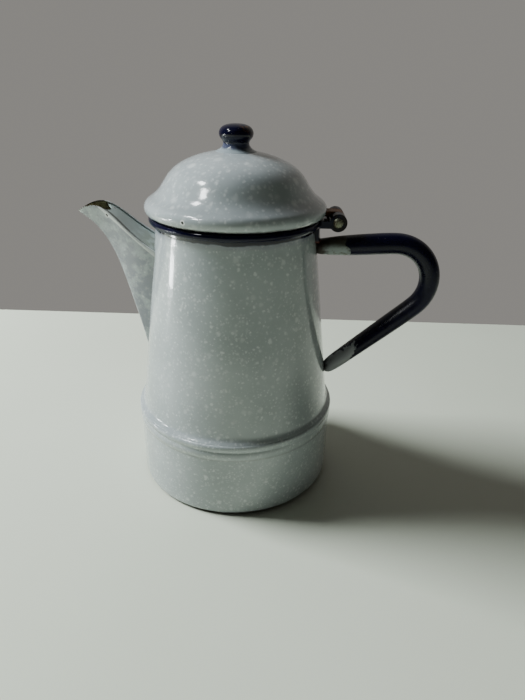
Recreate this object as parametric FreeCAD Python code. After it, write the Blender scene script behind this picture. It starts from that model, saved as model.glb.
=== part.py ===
import FreeCAD, Part
import math
import os

# Enamelled steel pot with a hinged lid and a lift-out infuser basket, in millimetres.
# +Z is up, Z is the pot's own axis, and z = 0 is the underside it stands on.
# The handle and the lid hinge point along +X, and the spout points along -X.

V = FreeCAD.Vector

# Sheet steel and clearances
sheet = 1.0
seam_gap = 0.05
running_fit = 0.05
moving_gap = 0.6

# Base cup with its locking bead
base_radius = 55.0
base_corner = 2.5
base_height = 36.8
bead_height = 8.4
bead_proud = 0.75
seam_lap = 8.0

# Conical wall, neck and rolled rim
mouth_radius = 41.0
body_height = 142.0
neck_height = 6.0
flare_height = 2.3
flare_step = 1.35
rim_roll_radius = 2.0
rim_sheet = 0.8

# Spout, its closing strip and the strainer holes behind it
spout_reach = 38.3
spout_depth = 68.0
spout_half_width = 14.8
spout_sheet = 0.9
strip_recess = 0.9
spout_mouth_radius = 7.5
strainer_hole_radius = 1.5
strainer_rows = 5
strainer_row_pitch = 8.0
strainer_hole_pitch = 4.4

# Handle tube
handle_reach = 61.8
handle_top_drop = 8.2
handle_rise = 3.0
handle_foot_lift = 16.3
handle_bend_radius = 19.9
handle_grip_thickness = 11.2
handle_width = 11.6
handle_sheet = 1.0
handle_top_pinch = 0.66
handle_foot_pinch = 0.75
handle_sections = 30

# Lid, its collar and its knob
lid_height = 30.1
lid_overhang = 1.8
lid_rest_gap = 0.35
collar_depth = 8.0
collar_sheet = 0.8
knob_radius = 8.45
knob_height = 11.8
knob_neck_radius = 6.2
knob_sheet = 0.8

# Hinge
hinge_offset = 10.0
hinge_rise = 0.5
hinge_knuckle_radius = 4.4
hinge_pin_radius = 1.55
hinge_half_length = 10.0
lid_knuckle_half = 3.7
knuckle_side_gap = 0.3
leaf_thickness = 1.2
pin_head_radius = 2.5
pin_head_height = 0.9
bracket_drop = 9.6

# Infuser basket and its bail
basket_sheet = 0.5
basket_depth = 74.0
basket_taper = 2.6
basket_hang_gap = 0.3
basket_flange = 2.5
basket_flange_thickness = 0.7
basket_hole_radius = 1.5
basket_hole_rows = 4
basket_holes_per_row = 24
basket_floor_rings = 3
bail_wire_radius = 1.0
bail_pivot_drop = 17.0
bail_bend_radius = 2.5
bail_inset = 4.4
ear_width = 9.0
ear_height = 6.6
ear_sheet = 0.8

# Places that follow from the sizes above
neck_top = body_height + neck_height
seam_z = base_height + bead_height
skirt_radius = base_radius - sheet - seam_gap
cone_foot_radius = skirt_radius - flare_step
cone_foot_z = seam_z + flare_height
cone_slope = (cone_foot_radius - mouth_radius) / (body_height - cone_foot_z)
mouth_bore = mouth_radius - sheet
rim_centre_radius = mouth_bore + rim_roll_radius
rim_top = neck_top + rim_roll_radius
lid_foot = rim_top + lid_rest_gap
lid_radius = rim_centre_radius + rim_roll_radius + lid_overhang
lid_top = lid_foot + lid_height
hinge_x = mouth_radius + hinge_offset
hinge_z = neck_top + hinge_rise
basket_radius = mouth_bore - moving_gap
basket_bore = basket_radius - basket_sheet
basket_top = rim_top + basket_hang_gap + basket_flange_thickness
basket_bottom = rim_top - basket_depth
collar_radius = basket_bore - moving_gap - 0.1
bail_z = rim_top - bail_pivot_drop


def wall_radius(z):
    """Outer radius of the straight conical wall at a height."""
    return mouth_radius + cone_slope * (body_height - z)


def basket_wall_radius(z):
    """Outer radius of the tapered basket wall at a height."""
    return basket_radius - basket_taper * (basket_top - z) / (basket_top - basket_bottom)


def revolve(edges):
    """Turn a closed outline in the XZ plane once round the Z axis."""
    outline = Part.Wire(Part.__sortEdges__(edges))
    return Part.Face(outline).revolve(V(0, 0, 0), V(0, 0, 1), 360)


def straight(points):
    """Straight edges through (radius, z) points."""
    corners = [V(r, 0, z) for r, z in points]
    return [Part.makeLine(a, b) for a, b in zip(corners, corners[1:])]


def arc(start, middle, end):
    """An arc through three (radius, z) points."""
    return Part.Arc(*[V(r, 0, z) for r, z in (start, middle, end)]).toShape()


def smooth(points):
    """A smooth curve through (radius, z) points that crosses the axis level at its last point."""
    places = [V(r, 0, z) for r, z in points]
    beyond = [V(-r, 0, z) for r, z in reversed(points[-3:-1])]
    line = Part.BSplineCurve()
    line.interpolate(places + beyond)
    line.segment(line.FirstParameter, line.parameter(places[-1]))
    return line


def inner_side(line, thickness, steps):
    """The curve one wall thickness to the inner side of another curve."""
    places = []
    for step in range(steps + 1):
        where = line.FirstParameter + (line.LastParameter - line.FirstParameter) * step / steps
        along = line.tangent(where)[0]
        place = line.value(where) + V(-along.z, 0, along.x) * thickness
        places.append(place)
    places[-1].x = 0
    inside = Part.BSplineCurve()
    inside.interpolate(places)
    return inside


def pressed_shell(line, thickness, steps):
    """A turned shell of even thickness under a curve that ends on the axis."""
    inside = inner_side(line, thickness, steps)
    rim_edge = Part.makeLine(line.StartPoint, inside.StartPoint)
    axis_edge = Part.makeLine(line.EndPoint, inside.EndPoint)
    return revolve([line.toShape(), axis_edge, inside.toShape(), rim_edge])


def filled_under(line):
    """The solid between a curve that ends on the axis and its lowest level."""
    foot = V(0, 0, line.StartPoint.z)
    return revolve([
        line.toShape(),
        Part.makeLine(line.EndPoint, foot),
        Part.makeLine(foot, line.StartPoint),
    ])


def tube_along_y(radius, y_low, y_high, x, z):
    return Part.makeCylinder(radius, y_high - y_low, V(x, y_low, z), V(0, 1, 0))


def box(x_low, x_high, y_low, y_high, z_low, z_high):
    return Part.makeBox(x_high - x_low, y_high - y_low, z_high - z_low, V(x_low, y_low, z_low))


def body_fill(offset=0.0):
    """The space inside the outer wall, filled solid and pushed out by an offset."""
    skirt = skirt_radius + offset
    foot = cone_foot_radius + offset
    mouth = mouth_radius + offset
    low = seam_z - seam_lap
    edges = straight([(0, neck_top), (0, low), (skirt, low), (skirt, seam_z)])
    edges.append(arc(
        (skirt, seam_z),
        (foot + flare_step * 0.3, seam_z + flare_height * 0.5),
        (foot, cone_foot_z),
    ))
    edges += straight([(foot, cone_foot_z), (mouth, body_height), (mouth, neck_top), (0, neck_top)])
    return revolve(edges)


def strainer_holes():
    """Rows of round holes through the wall, narrowing downwards with the spout."""
    holes = []
    for row in range(strainer_rows):
        count = strainer_rows + 1 - row
        z = body_height - strainer_row_pitch * (row + 1.75)
        for place in range(count):
            y = (place - (count - 1) / 2) * strainer_hole_pitch
            start = V(-wall_radius(z) - sheet, y, z)
            length = wall_radius(z) * 0.1 + 4 * sheet
            holes.append(Part.makeCylinder(strainer_hole_radius, length, start, V(1, 0, 0)))
    return Part.makeCompound(holes)


def make_body_cone():
    """Conical wall with its lapped skirt, its neck and the strainer holes."""
    return body_fill().cut(body_fill(-sheet)).cut(bore_ends()).cut(strainer_holes())


def bore_ends():
    """Opens the wall at the bottom and at the mouth."""
    low = seam_z - seam_lap
    bottom = Part.makeCylinder(skirt_radius - sheet, sheet, V(0, 0, low))
    top = Part.makeCylinder(mouth_bore, sheet, V(0, 0, neck_top - sheet))
    return bottom.fuse(top)


def make_body_base():
    """Drawn cup: flat bottom, rounded corner, and the double bead that locks the seam."""
    corner = base_corner
    bend = corner * (1 - math.sqrt(0.5))
    bore = base_radius - sheet
    proud = base_radius + bead_proud
    groove = proud - 0.3
    middle = base_height + bead_height / 2
    lip = bore + 0.4
    edges = straight([(0, sheet), (0, 0), (base_radius - corner, 0)])
    edges.append(arc((base_radius - corner, 0), (base_radius - bend, bend), (base_radius, corner)))
    edges += straight([(base_radius, corner), (base_radius, base_height)])
    edges.append(arc((base_radius, base_height), (proud, middle - bead_height / 4), (groove, middle)))
    edges.append(arc((groove, middle), (proud - 0.1, middle + bead_height / 4), (lip, seam_z)))
    edges += straight([(lip, seam_z), (bore, seam_z), (bore, corner)])
    inner_bend = (corner - sheet) * (1 - math.sqrt(0.5))
    edges.append(arc(
        (bore, corner),
        (bore - inner_bend, sheet + inner_bend),
        (base_radius - corner, sheet),
    ))
    edges += straight([(base_radius - corner, sheet), (0, sheet)])
    return revolve(edges)


def make_rim_roll(body_cone):
    """The rolled edge of the mouth, hollow, closed against the neck."""
    roll = Part.makeTorus(rim_centre_radius, rim_roll_radius, V(0, 0, neck_top))
    hollow = Part.makeTorus(rim_centre_radius, rim_roll_radius - rim_sheet, V(0, 0, neck_top))
    return roll.cut(hollow).cut(body_cone)


def spout_stations():
    """Sections from root to tip: keel point, ridge point, half width and keel radius."""
    root = -wall_radius(body_height - 5)
    top = body_height
    wide = spout_half_width
    out = spout_reach / 38.3
    deep = spout_depth / 68.0
    return [
        (root - 7.0 * out, top - 72.0 * deep, root + 5.0, top - 12.0, wide, 5.5),
        (root - 12.6 * out, top - 43.7 * deep, root - 2.9 * out, top - 6.2, wide, 5.0),
        (root - 17.1 * out, top - 25.3 * deep, root - 10.2 * out, top - 1.4, wide * 0.86, 4.4),
        (root - 22.4 * out, top - 10.7 * deep, root - 17.2 * out, top + 5.0, wide * 0.72, 3.9),
        (root - 29.4 * out, top + 0.2, root - 23.7 * out, top + 10.3, wide * 0.56, 3.3),
        (root - 35.3 * out, top + 5.3, root - 31.5 * out, top + 12.4, wide * 0.42, 2.7),
        (root - 40.1 * out, top + 8.0, root - 38.3 * out, top + 13.0, wide * 0.25, 1.9),
    ]


def spout_section(station, inset, open_above):
    """U-shaped section: a flat ridge line, straight sides and a round keel."""
    keel_x, keel_z, ridge_x, ridge_z, half, keel_radius = station
    ridge = V(ridge_x, 0, ridge_z)
    down = V(keel_x - ridge_x, 0, keel_z - ridge_z)
    depth = down.Length - inset
    down.normalize()
    half -= inset
    keel_radius -= inset
    centre = depth - keel_radius
    angle = math.atan2(centre, half) - math.acos(keel_radius / math.hypot(centre, half))
    touch_across = keel_radius * math.cos(angle)
    touch_down = centre - keel_radius * math.sin(angle)

    def at(across, below):
        return ridge + V(0, across, 0) + down * below

    edges = [
        Part.makeLine(at(-half, -open_above), at(half, -open_above)),
        Part.makeLine(at(half, -open_above), at(touch_across, touch_down)),
        Part.Arc(at(touch_across, touch_down), at(0, depth), at(-touch_across, touch_down)).toShape(),
        Part.makeLine(at(-touch_across, touch_down), at(-half, -open_above)),
    ]
    return Part.Wire(edges)


def strip_section(station):
    """A flat band across the spout, just under the ridge line."""
    keel_x, keel_z, ridge_x, ridge_z, half, _ = station
    down = V(keel_x - ridge_x, 0, keel_z - ridge_z).normalize()
    high = V(ridge_x, 0, ridge_z) + down * strip_recess
    low = high + down * spout_sheet
    side = V(0, half, 0)
    return Part.makePolygon([high - side, high + side, low + side, low - side, high - side])


def spout_trim():
    """What is cut away above the pouring lip, with its low curved sides."""
    tip = V(-mouth_radius - spout_reach - 0.9, 0, body_height + 7.3)
    crest = V(tip.x + 8.5, 0, body_height + 11.5)
    back = V(tip.x + 16.0, 0, body_height + 10.6)
    start = tip - V(3, 0, 3.4)
    lip = Part.BSplineCurve()
    lip.interpolate([start, tip, crest, back])
    edges = [
        lip.toShape(),
        Part.makeLine(back, back + V(0, 0, 12)),
        Part.makeLine(back + V(0, 0, 12), start + V(0, 0, 24)),
        Part.makeLine(start + V(0, 0, 24), start),
    ]
    face = Part.Face(Part.Wire(edges))
    face.translate(V(0, -spout_half_width, 0))
    return face.extrude(V(0, 2 * spout_half_width, 0))


def spout_bore():
    """The hollow of the spout, open above the ridge line."""
    return Part.makeLoft([spout_section(s, spout_sheet, 1.5) for s in spout_stations()], True)


def make_spout_shell():
    """Pressed U-shaped shell, trimmed at the pouring lip and fitted to the wall."""
    outer = Part.makeLoft([spout_section(s, 0.0, 0.0) for s in spout_stations()], True)
    return outer.cut(spout_bore()).cut(spout_trim()).cut(body_fill())


def make_spout_strip():
    """Flat strip that closes the back of the spout, notched round at the pouring lip."""
    band = Part.makeLoft([strip_section(s) for s in spout_stations()], True)
    notch_x = -mouth_radius - spout_reach + 8.0
    notch = Part.makeCylinder(spout_mouth_radius, 40, V(notch_x, 0, body_height - 5))
    beyond = box(notch_x - 40, notch_x, -20, 20, body_height - 20, body_height + 40)
    return band.common(spout_bore()).cut(notch).cut(beyond).cut(body_fill())


def tangent_touch(outside, centre, radius, turn):
    """Where a line from an outside (x, z) point touches a circle."""
    across = (outside[0] - centre[0], outside[1] - centre[1])
    away = math.atan2(across[1], across[0])
    angle = away + turn * math.acos(radius / math.hypot(*across))
    return (centre[0] + radius * math.cos(angle), centre[1] + radius * math.sin(angle), angle)


def handle_route(share):
    """Place and direction on the handle's centre line, for a share of its length from 0 to 1."""
    radius = handle_bend_radius
    top_z = body_height - handle_top_drop
    foot_z = seam_z + handle_foot_lift
    centre = (mouth_radius + handle_reach - radius, top_z + handle_rise - radius)
    top = (wall_radius(top_z) - 1.5, top_z)
    foot = (wall_radius(foot_z) - 1.5, foot_z)
    top_x, top_touch_z, top_angle = tangent_touch(top, centre, radius, -1)
    foot_x, foot_touch_z, foot_angle = tangent_touch(foot, centre, radius, 1)
    if top_angle < foot_angle:
        top_angle += 2 * math.pi
    upper = math.hypot(top_x - top[0], top_touch_z - top[1])
    bend = radius * (top_angle - foot_angle)
    lower = math.hypot(foot_x - foot[0], foot_touch_z - foot[1])
    travel = share * (upper + bend + lower)
    if travel <= upper:
        way = travel / upper
        place = V(top[0] + (top_x - top[0]) * way, 0, top[1] + (top_touch_z - top[1]) * way)
        return place, V(top_x - top[0], 0, top_touch_z - top[1]).normalize()
    if travel <= upper + bend:
        angle = top_angle - (travel - upper) / radius
        place = V(centre[0] + radius * math.cos(angle), 0, centre[1] + radius * math.sin(angle))
        return place, V(math.sin(angle), 0, -math.cos(angle))
    way = (travel - upper - bend) / lower
    place = V(foot_x + (foot[0] - foot_x) * way, 0, foot_touch_z + (foot[1] - foot_touch_z) * way)
    return place, V(foot[0] - foot_x, 0, foot[1] - foot_touch_z).normalize()


def handle_fullness(share):
    """Thickness in the handle's plane as a share of the grip's, pinched towards the two ends."""
    top_pinch = 1 - (1 - handle_top_pinch) * math.exp(-share / 0.06)
    bend_pinch = 1 - 0.06 / (1 + math.exp((0.38 - share) / 0.04))
    foot_pinch = 1 - (1 - handle_foot_pinch) * max(0, (share - 0.5) / 0.5) ** 1.3
    return top_pinch * bend_pinch * foot_pinch


def handle_section(share, inset):
    """Oval section square to the handle's centre line."""
    place, along = handle_route(share)
    half_thick = handle_grip_thickness * handle_fullness(share) / 2 - inset
    half_wide = handle_width / 2 - inset
    across = V(0, 1, 0)
    outwards = across.cross(along)
    quarters = [place + across * half_wide, place + outwards * half_thick]
    quarters += [place - across * half_wide, place - outwards * half_thick]
    oval = Part.BSplineCurve()
    oval.interpolate(quarters, PeriodicFlag=True)
    return Part.Wire(oval.toShape())


def make_handle():
    """Formed tube, pinched towards both ends, with its ends fitted to the wall."""
    shares = [place / handle_sections for place in range(handle_sections + 1)]
    outer = Part.makeLoft([handle_section(share, 0) for share in shares], True)
    inner = Part.makeLoft([handle_section(share, handle_sheet) for share in shares], True)
    return outer.cut(inner).cut(body_fill())


def make_hinge_bracket():
    """Leg welded to the neck, arms out to the hinge and two knuckles."""
    knuckle_inner = lid_knuckle_half + knuckle_side_gap
    arm_low = hinge_z - hinge_knuckle_radius
    arm_high = arm_low + leaf_thickness
    half = hinge_half_length
    leg_low = neck_top - bracket_drop
    leg_zone = box(0, mouth_radius + 4, -half, half, leg_low, arm_high)
    leg = body_fill(leaf_thickness).common(leg_zone)
    arms = box(mouth_radius - sheet, hinge_x, -half, half, arm_low, arm_high)
    swing_room = box(
        hinge_x - hinge_knuckle_radius - moving_gap, hinge_x + 1,
        -knuckle_inner, knuckle_inner, arm_low - 1, arm_high + 1,
    )
    near = tube_along_y(hinge_knuckle_radius, -half, -knuckle_inner, hinge_x, hinge_z)
    far = tube_along_y(hinge_knuckle_radius, knuckle_inner, half, hinge_x, hinge_z)
    bore = tube_along_y(hinge_pin_radius + seam_gap / 2, -half - 1, half + 1, hinge_x, hinge_z)
    bracket = leg.fuse(arms.cut(swing_room)).fuse(near).fuse(far)
    return bracket.cut(bore).cut(body_fill()).removeSplitter()


def make_hinge_pin():
    """Plain pin with two low domed heads."""
    half = hinge_half_length + seam_gap
    shank = tube_along_y(hinge_pin_radius, -half, half, hinge_x, hinge_z)
    bulge = (pin_head_radius ** 2 + pin_head_height ** 2) / (2 * pin_head_height)
    pin = shank
    for side in (-1, 1):
        centre = V(hinge_x, side * (half + pin_head_height - bulge), hinge_z)
        ball = Part.makeSphere(bulge, centre)
        low, high = sorted((side * half, side * (half + pin_head_height)))
        pin = pin.fuse(ball.common(tube_along_y(pin_head_radius, low, high, hinge_x, hinge_z)))
    return pin.removeSplitter()


def lid_line():
    """Outer outline of the lid from its hem, over the brim and the dome, to the axis."""
    dome = lid_height / 30.1
    points = [
        (lid_radius - 2.3, lid_foot),
        (lid_radius, lid_foot + 3.5),
        (lid_radius - 3.1, lid_foot + 7.6),
        (lid_radius - 7.6, lid_foot + 11.4 * dome),
        (lid_radius * 0.749, lid_foot + 17.5 * dome),
        (lid_radius * 0.620, lid_foot + 23.2 * dome),
        (lid_radius * 0.437, lid_foot + 27.1 * dome),
        (lid_radius * 0.218, lid_foot + 29.4 * dome),
        (0, lid_top),
    ]
    return smooth(points)


def make_lid_leaf():
    """Middle knuckle of the hinge with the plate that runs under the brim."""
    plate_high = hinge_z + hinge_knuckle_radius
    plate_low = plate_high - leaf_thickness
    half = lid_knuckle_half
    plate = box(lid_radius - 2.6, hinge_x, -half, half, plate_low, plate_high)
    knuckle = tube_along_y(hinge_knuckle_radius, -half, half, hinge_x, hinge_z)
    bore = tube_along_y(hinge_pin_radius + running_fit, -half - 1, half + 1, hinge_x, hinge_z)
    return plate.fuse(knuckle).cut(bore).removeSplitter()


def make_lid_dome(lid_leaf):
    """Pressed lid with a turned-in hem, slotted for the hinge leaf."""
    return pressed_shell(lid_line(), sheet, 40).cut(lid_leaf)


def make_lid_collar():
    """Ring that drops inside the mouth and keeps the lid in place."""
    low = rim_top - collar_depth
    height = lid_height
    ring = Part.makeCylinder(collar_radius, height, V(0, 0, low))
    ring = ring.cut(Part.makeCylinder(collar_radius - collar_sheet, height, V(0, 0, low)))
    under = filled_under(inner_side(lid_line(), sheet, 40))
    below = Part.makeCylinder(lid_radius, collar_depth + 2, V(0, 0, low))
    return ring.common(under.fuse(below))


def make_lid_knob():
    """Hollow pressed knob on a flared neck, welded to the crown of the lid."""
    foot = lid_top - 0.7
    points = [
        (knob_neck_radius + 4.0, foot),
        (knob_neck_radius + 1.2, foot + 1.6),
        (knob_neck_radius, foot + 3.6),
        (knob_radius - 1.3, foot + 5.4),
        (knob_radius, foot + 7.8),
        (knob_radius - 1.2, foot + 10.6),
        (knob_radius - 4.3, foot + 12.0),
        (0, lid_top + knob_height),
    ]
    return pressed_shell(smooth(points), knob_sheet, 40).cut(filled_under(lid_line()))


def basket_fill(offset):
    """The space inside the basket wall, pushed out by an offset."""
    height = basket_top - basket_bottom
    low_radius = basket_radius - basket_taper + offset
    return Part.makeCone(low_radius, basket_radius + offset, height, V(0, 0, basket_bottom))


def basket_holes():
    """Staggered rows of round holes through the basket wall."""
    holes = []
    first = basket_bottom + 10
    last = bail_z - ear_height - 6
    for row in range(basket_hole_rows):
        z = first + (last - first) * row / (basket_hole_rows - 1)
        for place in range(basket_holes_per_row):
            angle = 2 * math.pi * (place + 0.5 * (row % 2)) / basket_holes_per_row
            outwards = V(math.cos(angle), math.sin(angle), 0)
            start = V(0, 0, z) + outwards * (basket_radius - basket_taper - 4)
            holes.append(Part.makeCylinder(basket_hole_radius, 8, start, outwards))
    return Part.makeCompound(holes)


def bail_bores():
    """The cross hole that the bail's two ends turn in."""
    reach = basket_radius + 5
    return tube_along_y(bail_wire_radius + running_fit, -reach, reach, 0, bail_z)


def make_infuser_wall():
    """Tapered basket wall with its holes."""
    wall = basket_fill(0).cut(basket_fill(-basket_sheet))
    return wall.cut(basket_holes()).cut(bail_bores())


def make_infuser_floor():
    """Perforated disc set into the foot of the basket wall."""
    radius = basket_radius - basket_taper - basket_sheet
    floor = Part.makeCylinder(radius, basket_sheet * 1.6, V(0, 0, basket_bottom))
    spacing = radius / (basket_floor_rings + 0.8)
    holes = []
    for ring in range(basket_floor_rings + 1):
        count = max(1, 6 * ring)
        for place in range(count):
            angle = 2 * math.pi * place / count
            centre = V(ring * spacing * math.cos(angle), ring * spacing * math.sin(angle), basket_bottom - 1)
            holes.append(Part.makeCylinder(basket_hole_radius, 4, centre))
    return floor.cut(Part.makeCompound(holes))


def make_infuser_rim():
    """Flange round the basket's top that hangs on the rolled rim."""
    low = rim_top + basket_hang_gap
    ring = Part.makeCylinder(basket_radius + basket_flange, basket_flange_thickness, V(0, 0, low))
    return ring.cut(basket_fill(0))


def make_infuser_ears():
    """Two pads inside the basket wall, each with a ledge that the bail lies down on."""
    pad_low = bail_z - ear_height / 2
    ledge_top = bail_z - bail_wire_radius - basket_hang_gap
    pads = basket_fill(-basket_sheet).cut(basket_fill(-basket_sheet - ear_sheet))
    ledges = basket_fill(-basket_sheet)
    ears = []
    for side in (-1, 1):
        low, high = sorted((side * basket_radius / 2, side * 2 * basket_radius))
        pad = pads.common(box(-ear_width / 2, ear_width / 2, low, high, pad_low, pad_low + ear_height))
        shelf_y = side * (basket_bore - bail_inset)
        low, high = sorted((shelf_y, side * 2 * basket_radius))
        shelf = ledges.common(box(-ear_width / 2, ear_width / 2, low, high, ledge_top - ear_sheet, ledge_top))
        ears.append(pad.fuse(shelf).cut(bail_bores()).removeSplitter())
    return Part.makeCompound(ears)


def make_infuser_bail():
    """Round wire hoop with its two ends turned out through the ears and the wall."""
    hoop = basket_wall_radius(bail_z) - basket_sheet - bail_inset
    bend = bail_bend_radius
    stub = basket_wall_radius(bail_z) + 0.6
    half_turn = math.sqrt(0.5)
    route = [
        Part.makeLine(V(0, -stub, bail_z), V(0, -hoop - bend, bail_z)),
        Part.Arc(
            V(0, -hoop - bend, bail_z),
            V(bend * (1 - half_turn), -hoop - bend * (1 - half_turn), bail_z),
            V(bend, -hoop, bail_z),
        ).toShape(),
        Part.Arc(V(bend, -hoop, bail_z), V(bend + hoop, 0, bail_z), V(bend, hoop, bail_z)).toShape(),
        Part.Arc(
            V(bend, hoop, bail_z),
            V(bend * (1 - half_turn), hoop + bend * (1 - half_turn), bail_z),
            V(0, hoop + bend, bail_z),
        ).toShape(),
        Part.makeLine(V(0, hoop + bend, bail_z), V(0, stub, bail_z)),
    ]
    path = Part.Wire(route)
    end = Part.Wire(Part.Circle(V(0, -stub, bail_z), V(0, 1, 0), bail_wire_radius).toShape())
    return path.makePipeShell([end], True, True)


def main():
    os.makedirs("parts", exist_ok=True)
    body_cone = make_body_cone()
    lid_leaf = make_lid_leaf()
    pieces = {
        "body_cone": body_cone,
        "body_base": make_body_base(),
        "rim_roll": make_rim_roll(body_cone),
        "spout_shell": make_spout_shell(),
        "spout_strip": make_spout_strip(),
        "handle": make_handle(),
        "hinge_bracket": make_hinge_bracket(),
        "hinge_pin": make_hinge_pin(),
        "lid_dome": make_lid_dome(lid_leaf),
        "lid_collar": make_lid_collar(),
        "lid_knob": make_lid_knob(),
        "lid_leaf": lid_leaf,
        "infuser_wall": make_infuser_wall(),
        "infuser_floor": make_infuser_floor(),
        "infuser_rim": make_infuser_rim(),
        "infuser_ears": make_infuser_ears(),
        "infuser_bail": make_infuser_bail(),
    }
    for name, shape in pieces.items():
        shape.exportStep("parts/" + name + ".step")


main()
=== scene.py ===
import math

import bpy
from mathutils import Matrix, Vector


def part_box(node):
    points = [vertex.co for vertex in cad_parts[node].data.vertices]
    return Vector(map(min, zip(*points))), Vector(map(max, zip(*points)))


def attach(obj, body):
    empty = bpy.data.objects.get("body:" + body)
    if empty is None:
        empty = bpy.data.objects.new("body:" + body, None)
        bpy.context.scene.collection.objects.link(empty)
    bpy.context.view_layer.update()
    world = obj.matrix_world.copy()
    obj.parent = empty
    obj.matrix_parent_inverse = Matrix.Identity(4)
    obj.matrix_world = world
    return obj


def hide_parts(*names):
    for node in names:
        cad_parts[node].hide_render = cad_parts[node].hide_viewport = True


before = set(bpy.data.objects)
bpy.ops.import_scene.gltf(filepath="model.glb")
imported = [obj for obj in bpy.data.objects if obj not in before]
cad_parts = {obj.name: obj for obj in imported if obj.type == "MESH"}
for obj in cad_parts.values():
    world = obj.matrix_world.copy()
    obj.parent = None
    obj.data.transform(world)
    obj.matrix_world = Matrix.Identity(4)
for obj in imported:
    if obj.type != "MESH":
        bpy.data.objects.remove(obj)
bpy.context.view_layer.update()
MM = 0.001


# ---------------------------------------------------------------------------
# The pot's wall. One sheet of steel rolled to a cone, with a short straight neck
# at the mouth and a skirt that laps inside the base cup, pierced behind the spout
# with strainer holes and dipped in speckled enamel.
# ---------------------------------------------------------------------------

def pick(piece):
    """Leaves edit mode and makes one piece the only one selected, and active."""
    if bpy.context.object and bpy.context.object.mode != "OBJECT":
        bpy.ops.object.mode_set(mode="OBJECT")
    bpy.ops.object.select_all(action="DESELECT")
    if piece:
        bpy.context.view_layer.objects.active = piece
        piece.select_set(True)


def open_for_editing(piece, mode="VERT"):
    """Goes into edit mode on one piece with nothing selected."""
    pick(piece)
    bpy.ops.object.mode_set(mode="EDIT")
    bpy.ops.mesh.select_mode(type=mode)
    bpy.ops.mesh.select_all(action="DESELECT")


def pick_points(piece, wanted):
    """Selects the vertices whose place passes a test, and goes back to edit mode."""
    bpy.ops.object.mode_set(mode="OBJECT")
    for vertex in piece.data.vertices:
        vertex.select = wanted(piece.matrix_world @ vertex.co)
    bpy.ops.object.mode_set(mode="EDIT")


def settle(piece, name):
    """Names a piece and moves its place into its mesh, so that its object sits at the origin."""
    pick(piece)
    bpy.ops.object.transform_apply(location=True, rotation=True, scale=True)
    piece.name = name
    return piece


def finish_with(piece, kind, **settings):
    """Adds a modifier with these settings and applies it."""
    pick(piece)
    modifier = piece.modifiers.new(kind.title(), kind)
    for name, value in settings.items():
        setattr(modifier, name, value)
    bpy.ops.object.modifier_apply(modifier=modifier.name)


def weld_up(piece):
    """Merges doubled points and turns every face outwards."""
    open_for_editing(piece)
    bpy.ops.mesh.select_all(action="SELECT")
    bpy.ops.mesh.remove_doubles(threshold=1e-6)
    bpy.ops.mesh.normals_make_consistent(inside=False)
    pick(piece)


def smooth_off(piece, levels, sharp_angle=50):
    """Subdivides a piece, and shades it smooth apart from its sharp edges."""
    if levels:
        finish_with(piece, "SUBSURF", levels=levels, render_levels=levels)
    pick(piece)
    bpy.ops.object.shade_smooth_by_angle(angle=math.radians(sharp_angle))


def raise_round(name, outline, segments, filled_start=False):
    """A round piece raised from a ring, one pull for each (radius, height) of its outline, in mm."""
    pick(None)
    radius, height = outline[0]
    bpy.ops.mesh.primitive_circle_add(
        vertices=segments, radius=radius * MM, location=(0, 0, height * MM),
        fill_type="TRIFAN" if filled_start else "NOTHING",
    )
    piece = bpy.context.object
    open_for_editing(piece, "EDGE")
    bpy.ops.mesh.select_all(action="SELECT")
    if filled_start:
        bpy.ops.mesh.region_to_loop()
    for next_radius, next_height in outline[1:]:
        rise = (0, 0, (next_height - height) * MM)
        bpy.ops.mesh.extrude_region_move(TRANSFORM_OT_translate={"value": rise})
        if next_radius == 0:
            bpy.ops.mesh.merge(type="CENTER")
            break
        share = next_radius / radius
        bpy.ops.transform.resize(value=(share, share, 1), center_override=(0, 0, next_height * MM))
        radius, height = next_radius, next_height
    return settle(piece, name)


def cut_away(piece, tool):
    """Cuts one closed shape out of another, and throws the cutting shape away."""
    finish_with(piece, "BOOLEAN", operation="DIFFERENCE", object=tool, solver="EXACT")
    bpy.data.objects.remove(tool)


SHEET = 1.0
MOUTH_RADIUS = 41.0
NECK_FOOT = 142.0
SEAM_HEIGHT = 45.2
CONE_FOOT_RADIUS = 52.6
CONE_FOOT = 47.5
wall_low, wall_high = (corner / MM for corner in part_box("body_cone"))
skirt = wall_high.x
neck_top = wall_high.z


def wall_radius(height):
    """Outer radius of the conical wall at a height, in mm."""
    share = (height - CONE_FOOT) / (NECK_FOOT - CONE_FOOT)
    return CONE_FOOT_RADIUS + (MOUTH_RADIUS - CONE_FOOT_RADIUS) * share


wall_outside = [
    (skirt, wall_low.z),
    (skirt, wall_low.z + 0.6),
    (skirt, SEAM_HEIGHT - 0.9),
    (skirt + 0.9, SEAM_HEIGHT - 0.1),
    (skirt + 0.35, SEAM_HEIGHT + 0.45),
    (skirt - 0.5, SEAM_HEIGHT + 1.2),
    (CONE_FOOT_RADIUS + 0.2, CONE_FOOT - 0.1),
    (wall_radius(49.2), 49.2),
    (wall_radius(53), 53),
    (wall_radius(75), 75),
    (wall_radius(98), 98),
    (wall_radius(120), 120),
    (wall_radius(137), 137),
    (MOUTH_RADIUS + 0.05, NECK_FOOT),
    (MOUTH_RADIUS, NECK_FOOT + 2),
    (MOUTH_RADIUS, neck_top - 0.4),
]
wall_inside = [(radius - SHEET, height) for radius, height in reversed(wall_outside)]
pot_wall = raise_round("pot_wall", wall_outside + wall_inside + wall_outside[:1], 72)
weld_up(pot_wall)
smooth_off(pot_wall, 2)


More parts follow.
